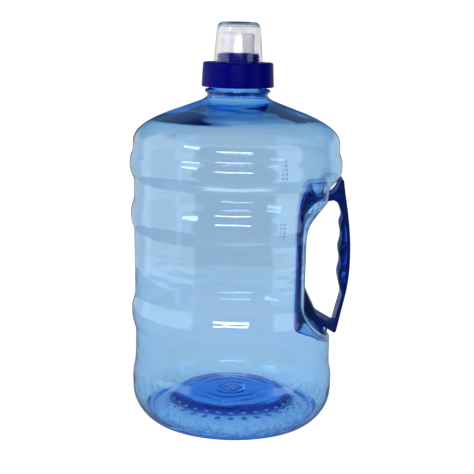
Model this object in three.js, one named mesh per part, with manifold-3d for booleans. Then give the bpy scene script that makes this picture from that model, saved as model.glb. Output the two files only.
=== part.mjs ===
// Large water jug: blow-moulded ribbed bottle, press-in carry handle, screw cap
// with a push-pull spout, and a clear dust cover. Millimetres, +Z up, the base
// on z = 0. Every piece is drawn about the bottle's own axis, and the finished
// group is shifted in x so that the origin is under the middle of the object.
import * as THREE from 'three';
import { mergeVertices } from 'three/addons/utils/BufferGeometryUtils.js';
import Module from 'manifold-3d';

const wasm = await Module();
wasm.setup();

// Driving dimensions
const bodyRadius = 62.0;          // barrel radius between the bands
const upperBandRadius = 66.0;     // widest part of the bottle
const footRadius = 53.8;          // outer edge of the flat contact ring
const wall = 1.3;                 // blown wall thickness
const neckWall = 2.1;             // wall at the neck, where the preform hardly stretches
const boreRadius = 15.4;          // clear bore of the neck
const ringRadius = 20.2;          // neck support ring
const mouthZ = 219.9;             // top of the neck
const capRadius = 22.2;
const capBottomZ = 208.2;
const capTopZ = 223.1;
const threadLead = 9;             // three starts, 3 mm apart
const threadStarts = 3;
const spoutRadius = 10;
const coverTopZ = 247.5;
const handleWidth = 16.5;
const gripReach = 72.6;           // outermost point of the grip
const gap = 0.3;                  // clearance between neighbouring pieces
const segments = 48;

// ---- helpers -------------------------------------------------------------

function toSolid(geometry) {
  const bare = geometry.clone();
  bare.deleteAttribute('normal');
  bare.deleteAttribute('uv');
  const merged = mergeVertices(bare, 1e-4);
  return new wasm.Manifold(new wasm.Mesh({
    numProp: 3,
    vertProperties: new Float32Array(merged.attributes.position.array),
    triVerts: new Uint32Array(merged.index.array),
  }));
}

function toGeometry(solid) {
  const mesh = solid.getMesh();
  const geometry = new THREE.BufferGeometry();
  geometry.setAttribute('position', new THREE.BufferAttribute(mesh.vertProperties, 3));
  geometry.setIndex(new THREE.BufferAttribute(mesh.triVerts, 1));
  return geometry;
}

// A solid of revolution about z from [radius, height] pairs that start and end
// on the axis, or close on themselves.
function turned(profile, steps = segments) {
  const points = profile.map(([r, z]) => new THREE.Vector2(r, z));
  const geometry = new THREE.LatheGeometry(points, steps);
  geometry.rotateX(Math.PI / 2);
  return toSolid(geometry);
}

function ring(inner, outer, low, high, steps = segments) {
  return turned([[inner, low], [outer, low], [outer, high], [inner, high], [inner, low]], steps);
}

// An outline in the x-z plane given thickness along y, centred on y = 0.
function plate(outline, width) {
  const shape = new THREE.Shape(outline.map(([x, z]) => new THREE.Vector2(x, z)));
  const geometry = new THREE.ExtrudeGeometry(shape, { depth: width, bevelEnabled: false });
  geometry.translate(0, 0, -width / 2);
  geometry.rotateX(Math.PI / 2);
  return toSolid(geometry);
}

function block(x0, x1, y0, y1, z0, z1) {
  const geometry = new THREE.BoxGeometry(x1 - x0, y1 - y0, z1 - z0);
  geometry.translate((x0 + x1) / 2, (y0 + y1) / 2, (z0 + z1) / 2);
  return toSolid(geometry);
}

// Points along a smooth curve through the given ones, both ends included.
function smooth(points, steps) {
  const curve = new THREE.SplineCurve(points.map(([x, z]) => new THREE.Vector2(x, z)));
  return curve.getPoints(steps).map((p) => [p.x, p.y]);
}

// A closed outline moved outwards by the given distance.
function grown(outline, distance) {
  const loop = outline.map(([x, z]) => new THREE.Vector2(x, z));
  const turn = THREE.ShapeUtils.isClockWise(loop) ? -1 : 1;
  return loop.map((p, i) => {
    const before = loop[(i + loop.length - 1) % loop.length];
    const after = loop[(i + 1) % loop.length];
    const a = p.clone().sub(before).normalize();
    const b = after.clone().sub(p).normalize();
    const outA = new THREE.Vector2(a.y, -a.x).multiplyScalar(turn);
    const outB = new THREE.Vector2(b.y, -b.x).multiplyScalar(turn);
    const mid = outA.add(outB).normalize();
    const lean = Math.max(0.5, mid.dot(outB));
    return [p.x + mid.x * distance / lean, p.y + mid.y * distance / lean];
  });
}

// One thread ridge: a bar bent round the axis and raised along the helix. It
// runs from root to crest radius and dies away into the root at both ends.
function ridge(root, crest, startAngle, sweep, startZ) {
  const steps = Math.round(sweep / 7.5);
  const bar = new THREE.BoxGeometry(1, 1, 1, steps, 1, 1);
  const place = bar.attributes.position;
  for (let i = 0; i < place.count; i += 1) {
    const along = place.getX(i) + 0.5;
    const atCrest = place.getY(i) > 0;
    const side = place.getZ(i) > 0 ? 1 : -1;
    const fade = Math.min(1, 0.1 + Math.min(along, 1 - along) * 6);
    const radius = atCrest ? root + (crest - root) * fade : root + (root - crest) * 0.35;
    const half = atCrest ? 0.32 : 0.58;
    const angle = THREE.MathUtils.degToRad(startAngle + sweep * along);
    const z = startZ + threadLead * sweep * along / 360 + side * half;
    place.setXYZ(i, radius * Math.cos(angle), radius * Math.sin(angle), z);
  }
  const bare = bar.clone();
  if (crest > root) bare.index.array.reverse();
  return toSolid(bare);
}

// ---- bottle ----------------------------------------------------------------

// Barrel radius at a height: three bulging bands on a slightly flared barrel.
function bulge(z, low, high, rise) {
  if (z <= low || z >= high) return 0;
  return rise * Math.sin(Math.PI * (z - low) / (high - low));
}

function barrelRadius(z) {
  const flare = THREE.MathUtils.smoothstep(z, 70, 170) * 2.0;
  return bodyRadius + flare + bulge(z, 56, 78, 2.3) + bulge(z, 119, 139, 2.2)
    + bulge(z, 151.5, 169, 2.2);
}

const barrelStations = [
  36, 56, 60, 64, 70, 74, 78, 119, 123, 129, 135, 139, 151.5, 155.5, 160.2, 165, 169,
];

const underside = [
  [0, 9.6], [26, 9.4], [33, 8.9], [37, 7.9], [41, 6.1], [45, 3.5], [48.6, 1.2], [50.4, 0],
];
const corner = [
  [footRadius, 0], [55.7, 1.3], [58.5, 4.3], [61.4, 9], [63.2, 15.5], [63.5, 25],
];
const shoulder = [
  [64.0, 175], [62.3, 180], [58.2, 184.2], [50.9, 188.6], [39.4, 193.5], [27.3, 198],
  [21.2, 200.5], [19.0, 202],
];

function insetProfile(profile, thickness) {
  return profile.map(([r, z], i) => {
    const [r0, z0] = profile[Math.max(0, i - 1)];
    const [r1, z1] = profile[Math.min(profile.length - 1, i + 1)];
    const length = Math.hypot(r1 - r0, z1 - z0);
    const t = thickness(z);
    return [r - t * (z1 - z0) / length, z + t * (r1 - r0) / length];
  });
}

const side = corner.concat(barrelStations.map((z) => [barrelRadius(z), z]), shoulder);
const neckOutside = [
  [18.5, 203.6], [19.6, 204.1], [ringRadius, 205], [ringRadius, 206.2], [19.6, 207],
  [17.5, 207.3], [17.5, mouthZ - 0.6], [17.1, mouthZ],
];
const outerProfile = underside.concat(side, neckOutside, [[0, mouthZ]]);

const blend = (z) => wall + (neckWall - wall) * THREE.MathUtils.smoothstep(z, 188, 202);
const innerSide = insetProfile(side.slice(1), blend);
const innerFloor = [
  [0, 11.6], [26, 11.4], [33, 10.9], [37.4, 9.8], [41.4, 8.0], [45.4, 5.4], [49.0, 3.1],
  [50.6, 2.6],
];
const innerProfile = innerFloor
  .concat(innerSide.slice(1), [[boreRadius, 204.5], [boreRadius, 230], [0, 230]]);

// The recess behind the grip, seen square to the handle; it runs right through
// from side to side.
const recess = [
  [85, 155.4], [66.5, 154.3], [61.8, 153.2], [58.0, 151.6], [56.3, 148.8], [55.8, 142.6],
  [52.8, 139.6], [49.2, 136.6], [45.4, 132.8], [43.2, 129.0], [42.4, 124.0],
  [42.4, 79.5], [43.5, 75.8], [46.4, 70.6], [51.0, 64.6], [56.5, 58.8], [60.6, 54.8],
  [65.0, 51.6], [85, 50.0],
];

// Handle outline: grip, lower arm, lower barb, strap, upper barb, upper arm.
const gripBack = smooth([
  [66.9, 152.4], [68.0, 145.2], [70.4, 130.8], [72.1, 116.5], [gripReach, 103.5],
  [72.3, 93.5], [71.1, 82.9], [68.4, 69.8], [66.4, 60.0],
], 20);
const lowerSide = [
  [65.5, 55.9], [64.5, 55.0], [62.9, 55.8], [57.4, 59.0],
  [59.4, 52.6], [58.9, 50.9], [57.4, 50.5], [56.0, 51.6], [52.4, 58.4], [50.0, 62.4],
  [46.6, 61.6], [44.6, 60.4], [43.7, 57.6], [42.9, 56.1], [41.8, 55.6], [40.7, 56.1],
  [40.0, 57.6],
];
const strapBack = smooth([[40.0, 118], [40.2, 127], [41.0, 134.5], [42.9, 142.2]], 5);
const upperSide = [
  [46.4, 148.6], [47.3, 149.0], [47.9, 148.2], [50.2, 142.0], [56.8, 142.6],
  [60.6, 144.6], [63.2, 147.8], [65.2, 153.0], [66.1, 153.6],
];
const handleOuter = gripBack.concat(lowerSide, strapBack, upperSide);

// Opening for the fingers, with three finger bumps on the grip side.
const gripFront = smooth([
  [65.0, 135.8], [66.9, 129.6], [65.7, 124.4], [66.9, 116.6], [65.6, 108.4],
  [66.8, 100.4], [65.5, 92.2], [67.0, 84.6], [68.0, 80.0], [67.3, 75.6], [65.5, 68.8],
], 40);
const handleInner = [[58.2, 139.4], [60.8, 140.1], [63.2, 138.8]].concat(
  gripFront,
  [
    [64.1, 62.4], [63.5, 60.4], [57.6, 63.6], [52.4, 66.8], [50.9, 70.6], [47.2, 78.0],
    [44.4, 84.4], [43.6, 87.5], [43.6, 126.0], [44.3, 131.0], [46.4, 135.0], [50.0, 137.8],
    [54.0, 139.0],
  ],
);

function makeBottle() {
  const deep = 160;
  const slot = grown(handleOuter, gap);
  const lining = grown(handleOuter, gap + wall);
  const slotHalf = handleWidth / 2 + gap;
  const outside = turned(outerProfile)
    .subtract(plate(recess, deep))
    .subtract(plate(slot, 2 * slotHalf));
  const inside = turned(innerProfile)
    .subtract(plate(grown(recess, wall), deep))
    .subtract(plate(lining, 2 * (slotHalf + wall)));
  let bottle = outside.subtract(inside);
  for (let k = 0; k < threadStarts; k += 1) {
    bottle = bottle.add(ridge(17.5, 18.8, 120 * k, 150, 212.2));
  }
  return bottle;
}

// ---- carry handle ------------------------------------------------------------

function makeHandle() {
  const web = 2.4;
  const flank = (handleWidth - web) / 2;
  let handle = plate(handleOuter, handleWidth).subtract(plate(handleInner, handleWidth + 4));
  // Hollows in both flanks: three between the spine and the finger flange,
  // parted by cross ribs, a long one up the strap and along the upper arm, one
  // in the foot of the strap and one in the lower barb
  const hollows = [
    [[68.4, 125.6], [69.7, 125.6], [70.5, 118.5], [70.8, 111.4], [67.3, 111.4], [68.0, 118.0]],
    [[67.2, 108.8], [70.9, 108.8], [70.9, 97.6], [68.1, 97.6], [68.3, 102.0]],
    [[67.4, 95.0], [70.8, 95.0], [70.4, 88.0], [69.6, 84.0], [68.8, 84.0], [67.4, 89.5]],
    [
      [41.1, 71.0], [42.7, 65.6], [42.7, 126.4], [43.4, 131.4], [45.6, 135.8], [49.5, 138.9],
      [53.8, 140.1], [58.1, 140.5], [60.3, 141.6], [60.2, 143.0], [57.0, 141.6], [49.4, 140.9],
      [47.2, 146.6], [46.7, 146.8], [43.9, 141.7], [42.0, 134.2], [41.2, 126.8],
    ],
    [[41.1, 67.4], [41.1, 58.2], [41.8, 57.0], [42.6, 58.4], [42.8, 61.6]],
    [[52.6, 60.6], [56.7, 52.9], [57.7, 51.9], [58.2, 52.6], [56.5, 58.2], [54.6, 60.8]],
  ];
  for (const outline of hollows) {
    const cut = plate(outline, flank + 1);
    const shift = web / 2 + (flank + 1) / 2;
    handle = handle.subtract(cut.translate([0, shift, 0]));
    handle = handle.subtract(cut.translate([0, -shift, 0]));
  }
  return handle;
}

// ---- closure -------------------------------------------------------------------

const collarZ = 228.3;
const nozzleTopZ = 236.4;

function makeCap() {
  const bore = 19.2;
  let cap = turned([
    [5.4, 221.5], [bore, 221.5], [bore, capBottomZ], [capRadius - 0.4, capBottomZ],
    [capRadius, 208.8], [21.6, 222.4], [21.0, capTopZ], [12.6, capTopZ], [12.6, 223.9],
    [13.1, 224.3], [13.1, 224.9], [12.6, 225.3], [12.6, 225.8], [13.1, 226.2], [13.1, 226.8],
    [12.6, 227.2], [12.6, 227.9], [12.2, collarZ], [7.1, collarZ], [7.1, 234.9], [7.9, 235.3],
    [7.9, 235.9], [7.2, nozzleTopZ], [5.4, nozzleTopZ], [5.4, 221.5],
  ], 48);
  // Sealing pin in the middle of the nozzle, on three spokes with water passing between
  let pin = turned([[0, 224], [2.6, 224], [2.6, 231], [2.2, 232], [2.2, 239.4], [1.6, 240], [0, 240]], 24);
  for (let k = 0; k < 3; k += 1) {
    pin = pin.add(block(1.5, 6.2, -0.9, 0.9, 224, 228).rotate([0, 0, 120 * k]));
  }
  cap = cap.add(pin);
  for (let k = 0; k < threadStarts; k += 1) {
    cap = cap.add(ridge(bore, 17.9, 120 * k - 60, 150, 209.2));
  }
  return cap;
}

function makeLiner() {
  return ring(13.6, 18.6, mouthZ + gap, mouthZ + 1.3, 48);
}

function makeSpout() {
  return turned([
    [7.5, 228.7], [9.6, 228.7], [9.9, 229.2], [spoutRadius - 0.15, 238.6], [9.4, 239.9],
    [8.6, 240.5], [3.2, 240.5], [2.5, 239.6], [2.5, 236.8], [8.3, 236.8], [8.3, 230.4],
    [7.5, 229.8], [7.5, 228.7],
  ], 48);
}

function makeCover() {
  return turned([
    [13.5, 223.4], [14.7, 223.4], [14.6, 228.8], [13.3, 243.6], [12.5, 246.0], [11.0, 247.1],
    [0, coverTopZ], [0, 246.3], [10.4, 245.9], [11.4, 245.0], [12.1, 243.2], [13.5, 228.4],
    [13.5, 223.4],
  ], 48);
}

// ---- assembly --------------------------------------------------------------------

function piece(name, solid, look) {
  const mesh = new THREE.Mesh(toGeometry(solid), new THREE.MeshStandardMaterial(look));
  mesh.name = name;
  return mesh;
}

const clearBlue = { color: 0x9cc3e6, roughness: 0.08, metalness: 0 };
const darkBlue = { color: 0x06106e, roughness: 0.22, metalness: 0 };
const capBlue = { color: 0x02047a, roughness: 0.3, metalness: 0 };
const linerWhite = { color: 0xe9e9e6, roughness: 0.6, metalness: 0 };
const spoutWhite = { color: 0xeeeef6, roughness: 0.35, metalness: 0 };
const coverClear = { color: 0xf4f7fa, roughness: 0.05, metalness: 0 };

const jug = new THREE.Group();
jug.name = 'water_jug';
jug.position.x = (upperBandRadius - gripReach) / 2;
jug.add(
  piece('bottle_body', makeBottle(), clearBlue),
  piece('carry_handle', makeHandle(), darkBlue),
  piece('screw_cap', makeCap(), capBlue),
  piece('cap_liner', makeLiner(), linerWhite),
  piece('pull_spout', makeSpout(), spoutWhite),
  piece('dust_cover', makeCover(), coverClear),
);

export default jug;
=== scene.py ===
import math

import bmesh
import bpy
from mathutils import Matrix, Vector


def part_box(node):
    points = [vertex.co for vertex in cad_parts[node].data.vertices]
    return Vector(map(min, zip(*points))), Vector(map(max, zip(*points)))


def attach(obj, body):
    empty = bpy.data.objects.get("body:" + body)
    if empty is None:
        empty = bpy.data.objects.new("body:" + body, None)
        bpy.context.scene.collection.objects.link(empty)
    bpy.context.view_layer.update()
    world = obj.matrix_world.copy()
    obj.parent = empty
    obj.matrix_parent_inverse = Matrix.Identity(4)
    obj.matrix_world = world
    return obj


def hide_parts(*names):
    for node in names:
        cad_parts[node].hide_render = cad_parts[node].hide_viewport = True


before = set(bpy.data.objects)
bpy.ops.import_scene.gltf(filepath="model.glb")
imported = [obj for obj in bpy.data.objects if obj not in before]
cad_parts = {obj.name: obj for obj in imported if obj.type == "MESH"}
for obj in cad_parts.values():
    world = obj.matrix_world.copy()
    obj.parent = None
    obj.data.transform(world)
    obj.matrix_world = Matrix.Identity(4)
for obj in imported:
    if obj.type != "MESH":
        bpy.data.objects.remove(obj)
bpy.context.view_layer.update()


# ---- Bottle body ---------------------------------------------------------
# One blow-moulded shell of clear blue plastic: a ribbed barrel with a recess
# for the hand, a pushed-up base centre, and a thick threaded neck. The wall is
# thin on the barrel and several times thicker at the neck and the base.

MM = 0.001
closure_low, closure_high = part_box("screw_cap")
bottle_axis_x = (closure_low[0] + closure_high[0]) / 2
neck_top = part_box("bottle_body")[1][2] / MM

barrel_stations = [
    (0.0, 53.9), (1.5, 55.8), (3.0, 57.3), (4.5, 58.6), (6.0, 59.7), (7.5, 60.6),
    (9.0, 61.4), (12.0, 62.6), (15.0, 63.2), (18.0, 63.5), (24.0, 63.6), (28.0, 63.5),
    (31.5, 62.9), (36.0, 62.1), (42.0, 62.0), (54.0, 62.0), (57.0, 62.3), (60.0, 63.2),
    (63.0, 64.0), (66.0, 64.3), (69.0, 64.4), (72.0, 64.1), (75.0, 63.3), (77.5, 62.7),
    (80.0, 62.5), (100.0, 62.7), (118.0, 63.1), (120.0, 63.2), (121.5, 63.6),
    (123.5, 64.3), (126.0, 64.9), (129.0, 65.2), (132.0, 65.0), (135.0, 64.4),
    (138.0, 63.5), (140.0, 63.2), (145.0, 63.3), (150.5, 63.4), (152.5, 63.9),
    (154.5, 64.8), (157.0, 65.6), (160.5, 66.0), (163.0, 65.9), (166.0, 65.3),
    (168.3, 64.4), (170.0, 64.1), (174.0, 64.1), (177.0, 63.6), (180.0, 62.3),
    (183.0, 59.6), (186.0, 55.6), (189.0, 50.2), (192.0, 43.4), (195.0, 35.3),
    (198.0, 27.3), (199.7, 22.9), (201.0, 20.3), (202.3, 18.9), (203.4, 18.5),
]
underside = [
    (0.0, 10.4), (16.0, 10.2), (26.0, 9.8), (33.0, 9.0), (37.0, 7.9), (41.0, 6.1),
    (45.0, 3.5), (48.6, 1.2), (50.4, 0.2), (51.2, 0.0), (52.6, 0.0),
]
neck_outside = [
    (18.55, 203.9), (19.0, 204.3), (19.8, 204.8), (20.2, 205.4), (20.2, 206.0),
    (19.8, 206.6), (18.9, 207.0), (17.9, 207.2), (17.5, 207.6), (17.5, 209.6),
]
neck_outside += [(17.5, 211.0 + 0.2 * k) for k in range(32)]
neck_outside += [(17.5, neck_top - 0.9), (17.3, neck_top - 0.3), (16.9, neck_top)]
recess_stations = [
    (49.0, 95.0), (50.2, 76.0), (51.6, 65.4), (54.8, 60.8), (58.8, 56.5), (64.6, 51.0),
    (70.6, 46.4), (75.8, 43.4), (80.0, 42.4), (100.0, 42.4), (123.0, 42.4),
    (129.0, 43.3), (132.8, 45.5), (136.6, 49.2), (139.6, 52.8), (142.8, 55.8),
    (148.8, 56.4), (151.6, 58.2), (153.2, 61.8), (154.2, 66.4), (155.0, 76.0),
    (156.0, 95.0),
]
slot_stations = [
    (49.4, 66.0), (50.2, 60.0), (51.4, 55.5), (53.2, 49.0), (55.2, 43.0), (56.4, 40.6),
    (58.0, 39.7), (100.0, 39.7), (118.0, 39.7), (127.0, 39.9), (134.5, 40.7),
    (142.0, 42.4), (147.6, 44.8), (149.2, 46.4), (149.8, 52.0), (150.1, 60.0),
    (150.4, 70.0),
]
slot_half = 8.55


def reading(stations, at):
    """The value at a position between (position, value) stations, smooth and without overshoot."""
    if at <= stations[0][0]:
        return stations[0][1]
    if at >= stations[-1][0]:
        return stations[-1][1]
    i = 0
    while stations[i + 1][0] < at:
        i += 1

    def slope(a, b):
        return (b[1] - a[1]) / (b[0] - a[0])

    def eased(j):
        if j == 0 or j == len(stations) - 1:
            return 0.0
        before = slope(stations[j - 1], stations[j])
        after = slope(stations[j], stations[j + 1])
        if before * after <= 0:
            return 0.0
        return 2 * before * after / (before + after)

    (p0, v0), (p1, v1) = stations[i], stations[i + 1]
    if i == 0:
        m0 = slope(stations[0], stations[1])
    else:
        m0 = eased(i)
    if i + 2 == len(stations):
        m1 = slope(stations[-2], stations[-1])
    else:
        m1 = eased(i + 1)
    h = p1 - p0
    t = (at - p0) / h
    return (
        (2 * t ** 3 - 3 * t ** 2 + 1) * v0
        + (t ** 3 - 2 * t ** 2 + t) * h * m0
        + (3 * t ** 2 - 2 * t ** 3) * v1
        + (t ** 3 - t ** 2) * h * m1
    )


def softer_of(a, b, blend):
    """The smaller of two numbers, rounded over where they are close."""
    h = min(1.0, max(0.0, 0.5 + 0.5 * (b - a) / blend))
    return b * (1 - h) + a * h - blend * h * (1 - h)


def shrunk(stations, at, wall):
    """The same outline moved inwards by the wall, read at one height."""
    if wall == 0:
        return reading(stations, at)
    best = 1000.0
    for k in range(-6, 7):
        shift = wall * math.sin(k * math.pi / 12)
        reach = math.sqrt(max(0.0, wall ** 2 - shift ** 2))
        best = min(best, reading(stations, at + shift) - reach)
    return best


wall_stations = [
    (2.0, 1.6), (8.0, 1.4), (16.0, 1.15), (26.0, 1.0), (40.0, 1.0), (186.0, 1.0),
    (188.6, 1.1), (192.0, 1.5), (195.0, 2.0), (198.0, 2.6), (200.0, 3.0),
    (202.0, 3.2), (204.0, 3.1),
]


def heights_of_rows():
    """Heights of the rings of faces up the barrel, closest together where it curves most."""
    rows = []
    at = 0.0
    for end, step in ((12, 1.2), (34, 2.4), (49, 3), (60, 0.8), (80, 1.2), (118, 2.4),
                      (122, 1), (148, 1.3), (156, 0.5), (170, 1.2), (186, 1.2), (203.5, 0.9)):
        count = max(1, round((end - at) / step))
        for k in range(count):
            rows.append(at + (end - at) * k / count)
        at = end
    rows.append(203.4)
    return rows


def skin(profile, wall):
    """One turned skin of the shell, with the hand recess and the handle slot pressed into it."""
    bm = bmesh.new()
    last = None
    for r, z in profile:
        here = bm.verts.new((r, 0, z))
        if last:
            bm.edges.new((last, here))
        last = here
    bmesh.ops.spin(
        bm, geom=bm.verts[:] + bm.edges[:], cent=(0, 0, 0), axis=(0, 0, 1),
        angle=2 * math.pi, steps=252, use_merge=True, use_duplicate=False,
    )
    bmesh.ops.remove_doubles(bm, verts=bm.verts, dist=1e-4)
    for offset in (0.3, 0.0, -0.3):
        for side in (1, -1):
            near_slot = [
                f for f in bm.faces
                if 46 < f.calc_center_median().z < 154 and f.calc_center_median().x > 30
            ]
            ring = {e for f in near_slot for e in f.edges}
            points = {v for f in near_slot for v in f.verts}
            bmesh.ops.bisect_plane(
                bm, geom=near_slot + list(ring) + list(points), dist=1e-4,
                plane_co=(0, side * (slot_half + wall + offset), 0), plane_no=(0, 1, 0),
            )
    for v in bm.verts:
        x, y, z = v.co
        if x <= 20 or not 46 < z < 158:
            continue
        floor = shrunk(recess_stations, z, wall)
        carved = softer_of(x, floor, 1.0)
        into_slot = min(1.0, max(0.0, (slot_half + wall + 0.3 - abs(y)) / 0.6))
        if into_slot > 0:
            deep = shrunk(slot_stations, z, wall)
            carved = carved + into_slot * (softer_of(carved, deep, 0.7) - carved)
        v.co.x = carved
    mesh = bpy.data.meshes.new("bottle_skin")
    bm.to_mesh(mesh)
    bm.free()
    return mesh


thread_starts = 3
thread_sweep = 150
thread_climb = 3.75
ridge_half = 0.62
ridge_flank = 0.26


def raise_threads(points, root, crest, first_angle, first_height):
    """Presses the three thread ridges into the plain cylinder of a neck or a cap."""
    for v in points:
        r = math.hypot(v.co.x, v.co.y)
        if abs(r - root) > 0.02:
            continue
        turned = math.degrees(math.atan2(v.co.y, v.co.x))
        for start in range(thread_starts):
            along = (turned - first_angle - 360 / thread_starts * start) % 360 / thread_sweep
            if along > 1:
                continue
            off = abs(v.co.z - first_height - thread_climb * along)
            fade = min(1.0, 0.1 + 6 * min(along, 1 - along))
            rise = fade * min(1.0, max(0.0, (ridge_half - off) / ridge_flank))
            v.co.x *= 1 + (crest / root - 1) * rise
            v.co.y *= 1 + (crest / root - 1) * rise


outer_profile = underside + [(reading(barrel_stations, z), z) for z in heights_of_rows()]
outer_profile += neck_outside
outer_skin = skin(outer_profile, 0.0)
raise_threads(outer_skin.vertices, 17.5, 18.8, 0, 212.2)

inner_profile = [
    (0.0, 16.0), (8.0, 15.9), (16.0, 15.6), (24.0, 15.0), (30.0, 14.3), (33.5, 13.7),
    (36.0, 12.8), (38.5, 11.2), (41.0, 9.3), (44.0, 6.9), (47.0, 4.6), (50.0, 2.5),
]
for z in heights_of_rows():
    if z < 2.2 or z > 201.6:
        continue
    r = reading(barrel_stations, z)
    lean = (reading(barrel_stations, z + 0.2) - reading(barrel_stations, z - 0.2)) / 0.4
    wall = reading(wall_stations, z)
    length = math.hypot(1, lean)
    inner_profile.append((r - wall / length, z + wall * lean / length))
inner_profile = [p for p in inner_profile if p[0] > 15.6 or p[1] < 100]
inner_profile += [
    (15.4, 204.0), (15.4, 208.0), (15.4, 214.0), (15.4, neck_top - 1.0),
    (15.6, neck_top - 0.4), (16.1, neck_top),
]
inner_skin = skin(inner_profile, 1.0)

# The preform stretched unevenly, so the shoulder wall is heavier in two places
for v in inner_skin.vertices:
    x, y, z = v.co
    r = math.hypot(x, y)
    if not (20 < r < 51 and 180 < z < 204):
        continue
    round_left = math.degrees(math.atan2(-x, -y))
    heaviest = math.exp(-((round_left - 62) / 38) ** 2)
    second = math.exp(-((round_left + 62) / 13) ** 2)
    most = 1.15 * heaviest + 0.24 * second
    start = 50.6 - 4.0 * second
    extra = min(most, 0.14 * max(0.0, start - r)) * min(1.0, (r - 20) / 18)
    v.co.z -= extra

bm = bmesh.new()
bm.from_mesh(outer_skin)
bm.from_mesh(inner_skin)
mouth = [
    e for e in bm.edges
    if e.is_boundary and abs(e.verts[0].co.z - neck_top) < 0.01
]
bmesh.ops.bridge_loops(bm, edges=mouth)
bmesh.ops.recalc_face_normals(bm, faces=bm.faces)
bmesh.ops.scale(bm, vec=(MM, MM, MM), verts=bm.verts)
bmesh.ops.translate(bm, vec=(bottle_axis_x, 0, 0), verts=bm.verts)
for face in bm.faces:
    face.smooth = True
for edge in bm.edges:
    if edge.is_manifold and edge.calc_face_angle() > math.radians(35):
        edge.smooth = False
shell = bpy.data.meshes.new("bottle_shell")
bm.to_mesh(shell)
bm.free()
bottle = bpy.data.objects.new("bottle_shell", shell)
bpy.context.scene.collection.objects.link(bottle)


def plastic_material(name):
    """A new node material, with its tree, its main shader and object coordinates about the axis."""
    material = bpy.data.materials.new(name)
    material.use_nodes = True
    tree = material.node_tree
    coordinates = tree.nodes.new("ShaderNodeTexCoord")
    about_axis = tree.nodes.new("ShaderNodeVectorMath")
    about_axis.operation = "SUBTRACT"
    about_axis.inputs[1].default_value = (bottle_axis_x, 0, 0)
    tree.links.new(coordinates.outputs["Object"], about_axis.inputs[0])
    return material, tree, tree.nodes["Principled BSDF"], about_axis.outputs["Vector"]


def calc(tree, operation, *values):
    """A maths node fed with sockets or plain numbers."""
    node = tree.nodes.new("ShaderNodeMath")
    node.operation = operation
    for socket, value in zip(node.inputs, values):
        if isinstance(value, bpy.types.NodeSocket):
            tree.links.new(value, socket)
        else:
            socket.default_value = value
    return node.outputs["Value"]


def window(tree, value, low, high, soft):
    """One between two limits and zero outside them, with soft ends."""
    rise = tree.nodes.new("ShaderNodeMapRange")
    rise.inputs["From Min"].default_value = low - soft
    rise.inputs["From Max"].default_value = low + soft
    tree.links.new(value, rise.inputs["Value"])
    fall = tree.nodes.new("ShaderNodeMapRange")
    fall.inputs["From Min"].default_value = high + soft
    fall.inputs["From Max"].default_value = high - soft
    tree.links.new(value, fall.inputs["Value"])
    return calc(tree, "MULTIPLY", rise.outputs["Result"], fall.outputs["Result"])


def noise(tree, place, scale, detail=2.0, stretch=(1, 1, 1)):
    """Noise of about the given number of features a metre, stretched if wanted."""
    sized = tree.nodes.new("ShaderNodeVectorMath")
    sized.operation = "MULTIPLY"
    sized.inputs[1].default_value = stretch
    tree.links.new(place, sized.inputs[0])
    texture = tree.nodes.new("ShaderNodeTexNoise")
    texture.inputs["Scale"].default_value = scale
    texture.inputs["Detail"].default_value = detail
    tree.links.new(sized.outputs["Vector"], texture.inputs["Vector"])
    return texture.outputs["Fac"]


def relief(tree, shader, height, depth):
    """Bump of the given depth in metres."""
    bump = tree.nodes.new("ShaderNodeBump")
    bump.inputs["Strength"].default_value = 1.0
    bump.inputs["Distance"].default_value = depth
    tree.links.new(height, bump.inputs["Height"])
    tree.links.new(bump.outputs["Normal"], shader.inputs["Normal"])


def patchy(tree, shader, socket, pattern, low, high):
    """Lets a pattern drive a shader value between two levels."""
    spread = tree.nodes.new("ShaderNodeMapRange")
    spread.inputs["From Min"].default_value = 0.3
    spread.inputs["From Max"].default_value = 0.7
    spread.inputs["To Min"].default_value = low
    spread.inputs["To Max"].default_value = high
    tree.links.new(pattern, spread.inputs["Value"])
    tree.links.new(spread.outputs["Result"], shader.inputs[socket])


clear_blue, tree, gloss, place = plastic_material("clear_blue_plastic")
gloss.inputs["Base Color"].default_value = (1.0, 0.955, 0.98, 1)
gloss.inputs["IOR"].default_value = 1.5
gloss.inputs["Transmission Weight"].default_value = 1.0

axes = tree.nodes.new("ShaderNodeSeparateXYZ")
tree.links.new(place, axes.inputs["Vector"])
across, along, height = axes.outputs["X"], axes.outputs["Y"], axes.outputs["Z"]
radius = calc(tree, "SQRT", calc(
    tree, "ADD", calc(tree, "MULTIPLY", across, across), calc(tree, "MULTIPLY", along, along)))
around = calc(tree, "ARCTAN2", along, across)

# Slow ripples left by blowing, and fine stipple round the heel and the underside
ripples = calc(tree, "MULTIPLY", noise(tree, place, 26.0, 2.0, (1, 1, 3.2)), 0.5)
dots = tree.nodes.new("ShaderNodeTexVoronoi")
dots.inputs["Scale"].default_value = 1200.0
tree.links.new(place, dots.inputs["Vector"])
heel = calc(
    tree, "MULTIPLY", window(tree, height, -0.01, 0.012, 0.005),
    window(tree, radius, 0.0405, 0.09, 0.002))
sparse = calc(tree, "GREATER_THAN", noise(tree, place, 210.0, 1.0), 0.5)
grain = calc(tree, "MAXIMUM", 0.0, calc(tree, "SUBTRACT", 0.42, dots.outputs["Distance"]))
stipple = calc(tree, "MULTIPLY", calc(tree, "MULTIPLY", grain, sparse), heel)

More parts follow.
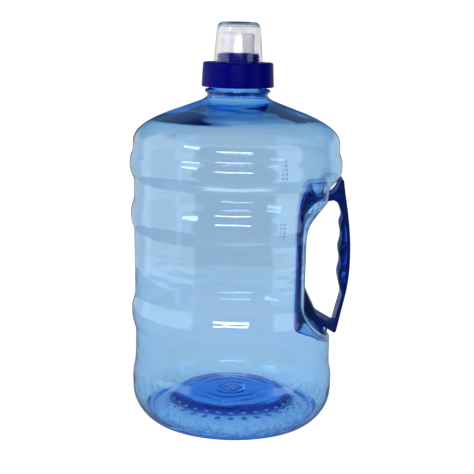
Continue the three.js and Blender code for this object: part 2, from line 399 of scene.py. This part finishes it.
# A ring of plain ticks round the pushed-up centre, and the gate swirl in the middle
ticks = calc(
    tree, "MULTIPLY",
    calc(tree, "GREATER_THAN", calc(tree, "SINE", calc(tree, "MULTIPLY", around, 31.0)), 0.45),
    window(tree, radius, 0.0385, 0.042, 0.0003))
ticks = calc(tree, "MULTIPLY", ticks, window(tree, height, -0.01, 0.013, 0.001))
turns = calc(tree, "ADD", calc(tree, "MULTIPLY", radius, 1500.0), around)
swirl = calc(tree, "MULTIPLY", calc(tree, "SINE", turns), window(tree, radius, -0.01, 0.009, 0.003))
swirl = calc(tree, "MULTIPLY", swirl, window(tree, height, -0.01, 0.018, 0.001))
rings = calc(tree, "SINE", calc(tree, "ADD", calc(tree, "MULTIPLY", radius, 900.0),
                                calc(tree, "MULTIPLY", noise(tree, place, 45.0), 9.0)))
rings = calc(tree, "MULTIPLY", rings, window(tree, radius, 0.009, 0.033, 0.003))
rings = calc(tree, "MULTIPLY", rings, window(tree, height, -0.01, 0.018, 0.001))

# A column of small raised bars on two of the bands, to the right of the front
beat = calc(tree, "GREATER_THAN", calc(tree, "SINE", calc(tree, "MULTIPLY", height, 2600.0)), 0.2)
column = calc(tree, "MULTIPLY", beat, window(tree, around, -1.15, -1.105, 0.004))
bars = calc(tree, "MULTIPLY", column, calc(
    tree, "ADD", window(tree, height, 0.1585, 0.1705, 0.0005),
    window(tree, height, 0.1245, 0.1335, 0.0005)))

surface = ripples
for pattern, weight in ((stipple, 0.7), (ticks, 0.9), (swirl, 0.14), (rings, 0.03), (bars, 0.5)):
    surface = calc(tree, "ADD", surface, calc(tree, "MULTIPLY", pattern, weight))
relief(tree, gloss, surface, 0.0006)
patchy(tree, gloss, "Roughness", noise(tree, place, 60.0, 3.0), 0.012, 0.05)

tint = tree.nodes.new("ShaderNodeVolumeAbsorption")
tint.inputs["Color"].default_value = (0.012, 0.655, 0.968, 1)
tint.inputs["Density"].default_value = 435.0
# A faint painted blue glow, given off by the plastic itself and stronger where it is thicker, stands
# in for the light scattered inside thick plastic
painted_blue_glow = tree.nodes.new("ShaderNodeEmission")
painted_blue_glow.inputs["Color"].default_value = (0.0, 0.14, 1.0, 1)
painted_blue_glow.inputs["Strength"].default_value = 3.8
body = tree.nodes.new("ShaderNodeAddShader")
tree.links.new(tint.outputs["Volume"], body.inputs[0])
tree.links.new(painted_blue_glow.outputs["Emission"], body.inputs[1])
tree.links.new(body.outputs["Shader"], tree.nodes["Material Output"].inputs["Volume"])


def light_passes(tree, shader):
    """Lets lamps and sky shine on through the piece instead of casting its full shadow."""
    let_through = tree.nodes.new("ShaderNodeBsdfTransparent")
    light_path = tree.nodes.new("ShaderNodeLightPath")
    chooser = tree.nodes.new("ShaderNodeMixShader")
    tree.links.new(light_path.outputs["Is Shadow Ray"], chooser.inputs["Fac"])
    tree.links.new(shader.outputs["BSDF"], chooser.inputs[1])
    tree.links.new(let_through.outputs["BSDF"], chooser.inputs[2])
    tree.links.new(chooser.outputs["Shader"], tree.nodes["Material Output"].inputs["Surface"])


light_passes(tree, gloss)
shell.materials.append(clear_blue)

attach(bottle, "jug")
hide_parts("bottle_body")


# ---- Carry handle --------------------------------------------------------
# One injection moulding of dark blue plastic: a grip with a smooth spine, a
# wavy finger flange and hollow flanks with cross ribs, two arms and a strap.

grip_back = [
    (66.9, 152.4), (68.0, 145.2), (70.4, 130.8), (72.1, 116.5), (72.6, 103.5),
    (72.3, 93.5), (71.1, 82.9), (68.4, 69.8), (66.4, 60.0),
]
lower_edge = [
    (65.5, 55.9), (64.5, 55.0), (62.9, 55.8), (57.4, 59.0), (59.4, 52.6), (58.9, 50.9),
    (57.4, 50.5), (56.0, 51.6), (52.4, 58.4), (50.0, 62.4), (46.6, 61.6), (44.6, 60.4),
    (43.7, 57.6), (42.9, 56.1), (41.8, 55.6), (40.7, 56.1), (40.0, 57.6),
]
strap_back = [(40.0, 118), (40.2, 127), (41.0, 134.5), (42.9, 142.2)]
upper_edge = [
    (46.4, 148.6), (47.3, 149.0), (47.9, 148.2), (50.2, 142.0), (56.8, 142.6),
    (60.6, 144.6), (63.2, 147.8), (65.2, 153.0), (66.1, 153.6),
]
grip_front = [
    (65.0, 135.8), (66.9, 129.6), (65.7, 124.4), (66.9, 116.6), (65.6, 108.4),
    (66.8, 100.4), (65.5, 92.2), (67.0, 84.6), (68.0, 80.0), (67.3, 75.6), (65.5, 68.8),
]
opening_edge = [
    (64.1, 62.4), (63.5, 60.4), (57.6, 63.6), (52.4, 66.8), (50.9, 70.6), (47.2, 78.0),
    (44.4, 84.4), (43.6, 87.5), (43.6, 126.0), (44.3, 131.0), (46.4, 135.0),
    (50.0, 137.8), (54.0, 139.0), (58.2, 139.4), (60.8, 140.1), (63.2, 138.8),
]
flank_hollows = [
    [(68.4, 126.0), (69.8, 126.0), (70.6, 118.5), (70.9, 110.6), (67.2, 110.6), (68.2, 117.0)],
    [(67.2, 108.8), (70.9, 108.8), (71.0, 96.6), (67.2, 96.6), (68.3, 101.6)],
    [(67.1, 95.0), (70.9, 95.0), (70.5, 88.0), (69.7, 83.4), (68.9, 83.4), (67.8, 88.6)],
    [
        (41.1, 71.0), (42.7, 65.6), (42.7, 126.4), (43.4, 131.4), (45.6, 135.8),
        (49.5, 138.9), (53.8, 140.1), (58.1, 140.5), (60.3, 141.6), (60.2, 143.0),
        (57.0, 141.6), (49.4, 140.9), (47.2, 146.6), (46.7, 146.8), (43.9, 141.7),
        (42.0, 134.2), (41.2, 126.8),
    ],
    [(41.1, 67.4), (41.1, 58.2), (41.8, 57.0), (42.6, 58.4), (42.8, 61.6)],
    [(52.6, 60.6), (56.7, 52.9), (57.7, 51.9), (58.2, 52.6), (56.5, 58.2), (54.6, 60.8)],
]
half_width = 8.25
half_web = 1.2


def eased_line(points, per_step=5):
    """Points along a smooth curve through the given ones, both ends included."""
    line = []
    for i in range(len(points) - 1):
        p0 = Vector(points[max(0, i - 1)])
        p1 = Vector(points[i])
        p2 = Vector(points[i + 1])
        p3 = Vector(points[min(len(points) - 1, i + 2)])
        for k in range(per_step):
            t = k / per_step
            line.append(0.5 * (
                2 * p1 + (p2 - p0) * t + (2 * p0 - 5 * p1 + 4 * p2 - p3) * t ** 2
                + (3 * p1 - 3 * p2 + p3 - p0) * t ** 3
            ))
    line.append(Vector(points[-1]))
    return line


def loop_edges(bm, points):
    """A closed ring of edges through the points, in the plane of the handle."""
    ring = [bm.verts.new((p[0], 0, p[1])) for p in points]
    return [bm.edges.new((ring[i - 1], ring[i])) for i in range(len(ring))]


rim_outside = eased_line(grip_back) + lower_edge + eased_line(strap_back, 3) + upper_edge
rim_inside = eased_line(grip_front) + opening_edge

bm = bmesh.new()
rims = loop_edges(bm, rim_outside) + loop_edges(bm, rim_inside)
hollow_edges = [loop_edges(bm, outline) for outline in flank_hollows]
hollow_verts = {v for ring in hollow_edges for e in ring for v in e.verts}
all_edges = rims + [e for ring in hollow_edges for e in ring]
bmesh.ops.triangle_fill(bm, edges=all_edges, use_beauty=True)
solid_faces = bm.faces[:]
for ring in hollow_edges:
    bmesh.ops.triangle_fill(bm, edges=ring, use_beauty=True)
raised = bmesh.ops.extrude_face_region(bm, geom=solid_faces)
bmesh.ops.translate(
    bm, vec=(0, -half_width, 0),
    verts=[g for g in raised["geom"] if isinstance(g, bmesh.types.BMVert)],
)
bmesh.ops.translate(bm, vec=(0, -half_web, 0), verts=[v for v in hollow_verts if v.is_valid])
leftover = [f for f in bm.faces if all(abs(v.co.y) < 0.01 for v in f.verts)]
bmesh.ops.delete(bm, geom=leftover, context="FACES_ONLY")
bmesh.ops.mirror(bm, geom=bm.verts[:] + bm.edges[:] + bm.faces[:], axis="Y", merge_dist=1e-3)
bmesh.ops.remove_doubles(bm, verts=bm.verts, dist=1e-3)
bmesh.ops.recalc_face_normals(bm, faces=bm.faces)
corners = [e for e in bm.edges if e.is_manifold and e.calc_face_angle() > math.radians(38)]
bmesh.ops.bevel(
    bm, geom=corners, offset=0.5, offset_type="OFFSET", segments=3, profile=0.5,
    affect="EDGES", clamp_overlap=True, material=-1,
)
bmesh.ops.scale(bm, vec=(MM, MM, MM), verts=bm.verts)
bmesh.ops.translate(bm, vec=(bottle_axis_x, 0, 0), verts=bm.verts)
for face in bm.faces:
    face.smooth = True
handle_mesh = bpy.data.meshes.new("handle_moulding")
bm.to_mesh(handle_mesh)
bm.free()
handle = bpy.data.objects.new("handle_moulding", handle_mesh)
bpy.context.scene.collection.objects.link(handle)
evened = handle.modifiers.new("flat faces stay flat", "WEIGHTED_NORMAL")
evened.keep_sharp = True

dark_blue, tree, satin, place = plastic_material("dark_blue_plastic")
satin.inputs["Base Color"].default_value = (0.12, 0.3, 0.95, 1)
satin.inputs["IOR"].default_value = 1.46
satin.inputs["Specular Tint"].default_value = (0.3, 0.5, 1.0, 1)
satin.inputs["Specular IOR Level"].default_value = 0.15
satin.inputs["Transmission Weight"].default_value = 0.96
patchy(tree, satin, "Roughness", noise(tree, place, 90.0, 4.0), 0.12, 0.22)
relief(tree, satin, noise(tree, place, 700.0, 3.0, (1, 1, 0.5)), 0.00004)
tint = tree.nodes.new("ShaderNodeVolumeAbsorption")
tint.inputs["Color"].default_value = (0.25, 0.62, 0.84, 1)
tint.inputs["Density"].default_value = 1000.0
tree.links.new(tint.outputs["Volume"], tree.nodes["Material Output"].inputs["Volume"])
handle_mesh.materials.append(dark_blue)

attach(handle, "jug")
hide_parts("carry_handle")


# ---- Cap liner -----------------------------------------------------------
# A plain ring of pale sealing foam pressed up inside the cap. It seals on the
# rim of the neck and shows only when the cap is off.


def turned_piece(name, profile, steps, closed=True, thread=None):
    """A solid of revolution about the bottle's axis from (radius, height) points in millimetres."""
    bm = bmesh.new()
    ring = [bm.verts.new((r, 0, z)) for r, z in profile]
    for i in range(0 if closed else 1, len(ring)):
        bm.edges.new((ring[i - 1], ring[i]))
    bmesh.ops.spin(
        bm, geom=bm.verts[:] + bm.edges[:], cent=(0, 0, 0), axis=(0, 0, 1),
        angle=2 * math.pi, steps=steps, use_merge=True, use_duplicate=False,
    )
    bmesh.ops.remove_doubles(bm, verts=bm.verts, dist=1e-4)
    bmesh.ops.recalc_face_normals(bm, faces=bm.faces)
    if thread:
        raise_threads(bm.verts, *thread)
    bmesh.ops.scale(bm, vec=(MM, MM, MM), verts=bm.verts)
    bmesh.ops.translate(bm, vec=(bottle_axis_x, 0, 0), verts=bm.verts)
    for face in bm.faces:
        face.smooth = True
    for edge in bm.edges:
        if edge.is_manifold and edge.calc_face_angle() > math.radians(40):
            edge.smooth = False
    mesh = bpy.data.meshes.new(name)
    bm.to_mesh(mesh)
    bm.free()
    piece = bpy.data.objects.new(name, mesh)
    bpy.context.scene.collection.objects.link(piece)
    return piece


liner_profile = [
    (13.8, 220.2), (18.4, 220.2), (18.6, 220.4), (18.6, 221.0), (18.4, 221.2),
    (13.8, 221.2), (13.6, 221.0), (13.6, 220.4),
]
liner = turned_piece("sealing_ring", liner_profile, 96)

liner_foam, tree, foam, place = plastic_material("liner_foam")
foam.inputs["Roughness"].default_value = 0.75
cells = noise(tree, place, 1800.0, 3.0)
shade = tree.nodes.new("ShaderNodeValToRGB")
shade.color_ramp.elements[0].color = (0.72, 0.72, 0.69, 1)
shade.color_ramp.elements[1].color = (0.86, 0.86, 0.84, 1)
tree.links.new(cells, shade.inputs["Fac"])
tree.links.new(shade.outputs["Color"], foam.inputs["Base Color"])
relief(tree, foam, cells, 0.00003)
liner.data.materials.append(liner_foam)

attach(liner, "cap_carrier")
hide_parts("cap_liner")


# ---- Screw cap -----------------------------------------------------------
# One moulding of opaque deep blue plastic: a plain tapered skirt threaded
# inside, a collar with two rings for the dust cover, and the nozzle and its pin.

cap_profile = [
    (5.4, 221.5), (12.0, 221.5), (19.0, 221.5), (19.2, 221.3), (19.2, 218.0),
]
cap_profile += [(19.2, 214.2 - 0.2 * k) for k in range(29)]
cap_profile += [
    (19.5, 208.3), (20.0, 208.2), (21.6, 208.2), (22.0, 208.3), (22.2, 208.6),
    (22.2, 209.2), (21.95, 214.0), (21.72, 219.0), (21.55, 222.0), (21.4, 222.6),
    (21.0, 223.0), (20.5, 223.1), (15.6, 223.1), (13.0, 223.1), (12.6, 223.3),
    (12.6, 223.8), (12.9, 224.1), (13.1, 224.4), (13.1, 224.8), (12.9, 225.1),
    (12.6, 225.4), (12.6, 225.7), (12.9, 226.0), (13.1, 226.3), (13.1, 226.7),
    (12.9, 227.0), (12.6, 227.3), (12.5, 227.9), (12.2, 228.2), (11.8, 228.3),
    (7.5, 228.3), (7.1, 228.6), (7.1, 234.6), (7.4, 235.0), (7.8, 235.2), (7.9, 235.5),
    (7.9, 235.8), (7.6, 236.2), (7.1, 236.4), (5.7, 236.4), (5.4, 236.1), (5.4, 229.0),
]
cap = turned_piece("cap_moulding", cap_profile, 180, thread=(19.2, 17.9, -60, 209.2))

# The sealing pin and its three spokes, joined to the wall of the nozzle
pin_profile = [
    (0.0, 224.0), (2.3, 224.0), (2.6, 224.3), (2.6, 230.8), (2.5, 231.3), (2.2, 232.0),
    (2.2, 239.2), (2.1, 239.6), (1.6, 240.0), (0.0, 240.0),
]
pin = turned_piece("sealing_pin", pin_profile, 48, closed=False)
bm = bmesh.new()
for turn in range(3):
    added = bmesh.ops.create_cube(bm, size=1.0)["verts"]
    bmesh.ops.scale(bm, vec=(4.7, 1.8, 4.0), verts=added)
    bmesh.ops.translate(bm, vec=(3.85, 0, 226.0), verts=added)
    bmesh.ops.rotate(bm, matrix=Matrix.Rotation(math.radians(120 * turn), 3, "Z"), verts=added)
bmesh.ops.bevel(
    bm, geom=bm.edges[:], offset=0.3, offset_type="OFFSET", segments=2, profile=0.5,
    affect="EDGES", clamp_overlap=True, material=-1,
)
bmesh.ops.scale(bm, vec=(MM, MM, MM), verts=bm.verts)
bmesh.ops.translate(bm, vec=(bottle_axis_x, 0, 0), verts=bm.verts)
spokes_mesh = bpy.data.meshes.new("pin_spokes")
bm.to_mesh(spokes_mesh)
bm.free()
spokes = bpy.data.objects.new("pin_spokes", spokes_mesh)
bpy.context.scene.collection.objects.link(spokes)

for tool in (spokes, pin):
    union = cap.modifiers.new("join", "BOOLEAN")
    union.operation = "UNION"
    union.solver = "EXACT"
    union.object = tool
whole = bpy.data.meshes.new_from_object(cap.evaluated_get(bpy.context.evaluated_depsgraph_get()))
cap.modifiers.clear()
cap.data = whole
bpy.data.objects.remove(spokes)
bpy.data.objects.remove(pin)
bm = bmesh.new()
bm.from_mesh(whole)
for face in bm.faces:
    face.smooth = True
for edge in bm.edges:
    edge.smooth = not (edge.is_manifold and edge.calc_face_angle() > math.radians(40))
bm.to_mesh(whole)
bm.free()

cap_blue, tree, opaque, place = plastic_material("cap_blue_plastic")
opaque.inputs["IOR"].default_value = 1.47
opaque.inputs["Specular IOR Level"].default_value = 0.03
flow = noise(tree, place, 55.0, 3.0, (1, 1, 2.5))
shade = tree.nodes.new("ShaderNodeValToRGB")
shade.color_ramp.elements[0].color = (0.0003, 0.0009, 0.13, 1)
shade.color_ramp.elements[1].color = (0.0003, 0.0011, 0.17, 1)
tree.links.new(flow, shade.inputs["Fac"])
tree.links.new(shade.outputs["Color"], opaque.inputs["Base Color"])
patchy(tree, opaque, "Roughness", noise(tree, place, 240.0, 4.0), 0.26, 0.38)
relief(tree, opaque, noise(tree, place, 900.0, 2.0), 0.00002)
cap.data.materials.append(cap_blue)

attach(cap, "cap")
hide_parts("screw_cap")


# ---- Pull spout ----------------------------------------------------------
# The push-pull mouthpiece, one moulding of frosted white plastic that slides
# on the nozzle. Its top hole closes on the cap's pin when it is pushed down.

spout_profile = [
    (7.7, 228.7), (9.4, 228.7), (9.8, 228.9), (9.9, 229.4), (9.7, 231.0), (9.6, 233.0),
    (9.6, 235.0), (9.75, 236.6), (9.9, 237.6), (9.9, 238.6), (9.7, 239.4), (9.2, 240.1),
    (8.4, 240.45), (7.0, 240.5), (4.0, 240.5), (3.2, 240.4), (2.7, 240.0), (2.5, 239.4),
    (2.5, 237.2), (2.7, 236.9), (3.0, 236.8), (8.0, 236.8), (8.3, 236.5), (8.3, 230.6),
    (8.1, 230.1), (7.6, 229.8), (7.5, 229.5), (7.5, 228.9),
]
spout = turned_piece("spout_moulding", spout_profile, 128)

frosted_white, tree, frost, place = plastic_material("frosted_white_plastic")
frost.inputs["Subsurface Weight"].default_value = 0.4
frost.inputs["Subsurface Radius"].default_value = (1.0, 1.0, 1.0)
frost.inputs["Subsurface Scale"].default_value = 0.002
shade = tree.nodes.new("ShaderNodeValToRGB")
shade.color_ramp.elements[0].color = (0.49, 0.49, 0.55, 1)
shade.color_ramp.elements[1].color = (0.54, 0.54, 0.60, 1)
tree.links.new(noise(tree, place, 160.0, 2.0), shade.inputs["Fac"])
tree.links.new(shade.outputs["Color"], frost.inputs["Base Color"])
patchy(tree, frost, "Roughness", noise(tree, place, 300.0, 3.0), 0.34, 0.46)
relief(tree, frost, noise(tree, place, 1200.0, 2.0), 0.00002)
spout.data.materials.append(frosted_white)

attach(spout, "spout")
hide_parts("pull_spout")


# ---- Dust cover ----------------------------------------------------------
# A thin clear cup pressed over the rings of the collar to keep the spout clean.
# It is one moulding, slightly tapered, with a rounded crown.

cover_profile = [
    (0.0, 247.5), (5.0, 247.45), (10.0, 247.2), (11.4, 246.8), (12.4, 245.9),
    (13.0, 244.6), (13.3, 243.0), (13.5, 241.0), (13.9, 237.0), (14.3, 232.5),
    (14.6, 228.6), (14.72, 224.6), (14.7, 223.6), (14.5, 223.4), (13.7, 223.4),
    (13.5, 223.6), (13.5, 225.0), (13.4, 228.5), (13.1, 232.5), (12.7, 237.0),
    (12.3, 241.5), (12.05, 243.7), (11.6, 244.9), (10.8, 245.6), (9.6, 246.0),
    (5.0, 246.25), (0.0, 246.3),
]
cover = turned_piece("cover_cup", cover_profile, 128, closed=False)

clear_plastic, tree, clear, place = plastic_material("clear_plastic")
clear.inputs["Base Color"].default_value = (0.985, 0.985, 0.99, 1)
clear.inputs["IOR"].default_value = 1.38
clear.inputs["Transmission Weight"].default_value = 1.0
patchy(tree, clear, "Roughness", noise(tree, place, 220.0, 5.0, (1, 1, 0.2)), 0.06, 0.14)
relief(tree, clear, noise(tree, place, 70.0, 1.0), 0.00012)
light_passes(tree, clear)
cover.data.materials.append(clear_plastic)

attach(cover, "cover")
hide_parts("dust_cover")


# ---- Floor and surroundings ----------------------------------------------
# A pale floor in a plain studio: white to the camera, bright at the left, nearly
# black at the right, and dark blue behind the camera and high at the back.

floor_mesh = bpy.data.meshes.new("studio_floor")
bm = bmesh.new()
bmesh.ops.create_circle(bm, cap_ends=True, radius=0.42, segments=96)
bmesh.ops.translate(bm, vec=(0, 0, -0.0002), verts=bm.verts)
bm.to_mesh(floor_mesh)
bm.free()
floor = bpy.data.objects.new("studio_floor", floor_mesh)
bpy.context.scene.collection.objects.link(floor)
pale = bpy.data.materials.new("pale_floor")
pale.use_nodes = True
paint = pale.node_tree.nodes["Principled BSDF"]
grain = pale.node_tree.nodes.new("ShaderNodeTexNoise")
grain.inputs["Scale"].default_value = 40.0
spot = pale.node_tree.nodes.new("ShaderNodeTexCoord")
pale.node_tree.links.new(spot.outputs["Object"], grain.inputs["Vector"])
mottle = pale.node_tree.nodes.new("ShaderNodeValToRGB")
mottle.color_ramp.elements[0].color = (0.33, 0.33, 0.33, 1)
mottle.color_ramp.elements[1].color = (0.37, 0.37, 0.37, 1)
pale.node_tree.links.new(grain.outputs["Fac"], mottle.inputs["Fac"])
pale.node_tree.links.new(mottle.outputs["Color"], paint.inputs["Base Color"])
paint.inputs["Roughness"].default_value = 0.9
paint.inputs["Specular IOR Level"].default_value = 0.0
paint.inputs["Emission Color"].default_value = (1, 1, 1, 1)
camera_sees = pale.node_tree.nodes.new("ShaderNodeLightPath")
floor_axes = pale.node_tree.nodes.new("ShaderNodeSeparateXYZ")
pale.node_tree.links.new(spot.outputs["Object"], floor_axes.inputs["Vector"])
# Bright behind the jug, unlit in front of it, and dimmer in straight reflections
behind_front = window(pale.node_tree, floor_axes.outputs["Y"], -0.075, 1.0, 0.01)
straight = calc(
    pale.node_tree, "SUBTRACT", camera_sees.outputs["Is Glossy Ray"],
    camera_sees.outputs["Is Transmission Ray"])
seen_level = calc(pale.node_tree, "SUBTRACT", 0.64, calc(pale.node_tree, "MULTIPLY", straight, 0.55))
glow = calc(pale.node_tree, "MULTIPLY", behind_front, seen_level)
glow = calc(pale.node_tree, "MAXIMUM", glow, camera_sees.outputs["Is Camera Ray"])
pale.node_tree.links.new(glow, paint.inputs["Emission Strength"])
floor_mesh.materials.append(pale)

studio = bpy.data.worlds.new("white_studio")
bpy.context.scene.world = studio
studio.use_nodes = True
nodes, links = studio.node_tree.nodes, studio.node_tree.links
sky = nodes["Background"]
sky.inputs["Color"].default_value = (1, 1, 1, 1)
sky.inputs["Strength"].default_value = 1.1
way = nodes.new("ShaderNodeTexCoord")
axes = nodes.new("ShaderNodeSeparateXYZ")
links.new(way.outputs["Generated"], axes.inputs["Vector"])


def fades_in(axis, start, end):
    """Zero before one limit and one past the other, along a direction of the sky."""
    fade = nodes.new("ShaderNodeMapRange")
    fade.inputs["From Min"].default_value = start
    fade.inputs["From Max"].default_value = end
    links.new(axes.outputs[axis], fade.inputs["Value"])
    return fade.outputs["Result"]


def times(a, b):
    """The product of two amounts."""
    product = nodes.new("ShaderNodeMath")
    product.operation = "MULTIPLY"
    links.new(a, product.inputs[0])
    links.new(b, product.inputs[1])
    return product.outputs["Value"]


def level(strength, colour=(1, 1, 1, 1)):
    """An even part of the sky."""
    plain = nodes.new("ShaderNodeBackground")
    plain.inputs["Color"].default_value = colour
    plain.inputs["Strength"].default_value = strength
    return plain.outputs["Background"]


def blend(amount, first, second):
    """One part of the sky giving way to another."""
    chooser = nodes.new("ShaderNodeMixShader")
    links.new(amount, chooser.inputs["Fac"])
    links.new(first, chooser.inputs[1])
    links.new(second, chooser.inputs[2])
    return chooser.outputs["Shader"]


dark_side = times(fades_in("Y", -0.66, -0.72), fades_in("Z", 0.62, 0.55))
high_up = fades_in("Z", 0.6, 0.75)
behind = fades_in("Y", 0.15, 0.3)
right_side = times(fades_in("X", 0.3, 0.4), fades_in("Y", -0.28, -0.2))
walls = blend(right_side, level(1.6), level(0.03))
back = blend(fades_in("Z", 0.1, 0.24), level(0.76), level(0.5, (0.3, 0.65, 1.0, 1)))
walls = blend(fades_in("Y", 0.45, 0.6), walls, back)
navy = (0.12, 0.2, 1.0, 1)
ceiling = blend(behind, level(0.5), level(0.1, navy))
room = blend(dark_side, blend(high_up, walls, ceiling), level(0.12, navy))
seen_by = nodes.new("ShaderNodeLightPath")
# Straight reflections of the far back are dimmed to keep grey glare off the handle
mirrored_back = times(seen_by.outputs["Is Glossy Ray"], fades_in("Y", 0.92, 0.96))
mirrored_back = calc(
    studio.node_tree, "MULTIPLY", mirrored_back,
    calc(studio.node_tree, "SUBTRACT", 1.0, seen_by.outputs["Is Transmission Ray"]))
room = blend(mirrored_back, room, level(0.3, (0.2, 0.4, 1.0, 1)))
links.new(
    blend(seen_by.outputs["Is Camera Ray"], room, sky.outputs["Background"]),
    nodes["World Output"].inputs["Surface"],
)


def softbox(name, place, aim, width, height, power, spread=180):
    """A flat rectangular lamp turned towards a point."""
    lamp = bpy.data.lights.new(name, "AREA")
    lamp.spread = math.radians(spread)
    lamp.shape = "RECTANGLE"
    lamp.size = width
    lamp.size_y = height
    lamp.energy = power
    holder = bpy.data.objects.new(name, lamp)
    holder.location = place
    holder.rotation_euler = (Vector(aim) - Vector(place)).to_track_quat("-Z", "Y").to_euler()
    bpy.context.scene.collection.objects.link(holder)


softbox("front_bar", (-0.05, -1.45, 0.42), (0, 0, 0.15), 1.0, 0.1, 6.0)
softbox("left_box", (-1.15, -0.95, 0.7), (0, 0, 0.15), 0.5, 0.25, 2.5)
softbox("floor_bar", (0, -0.16, 0.001), (0, -0.16, 0.2), 0.4, 0.07, 0.2, spread=90)


# ---- Camera --------------------------------------------------------------
# Level with the top of the cap and looking down a little at the barrel.

camera_data = bpy.data.cameras.new("camera")
camera_data.sensor_width = 36.0
camera_data.lens = 80.35
camera = bpy.data.objects.new("camera", camera_data)
pitch = math.radians(11.25)
roll = math.radians(1.2)
aim = Matrix.Rotation(math.pi / 2 - pitch, 4, "X") @ Matrix.Rotation(roll, 4, "Z")
camera.matrix_world = Matrix.Translation((bottle_axis_x + 0.0015, -0.655, 0.2444)) @ aim
bpy.context.scene.collection.objects.link(camera)
bpy.context.scene.camera = camera
bpy.context.scene.view_settings.view_transform = "Standard"
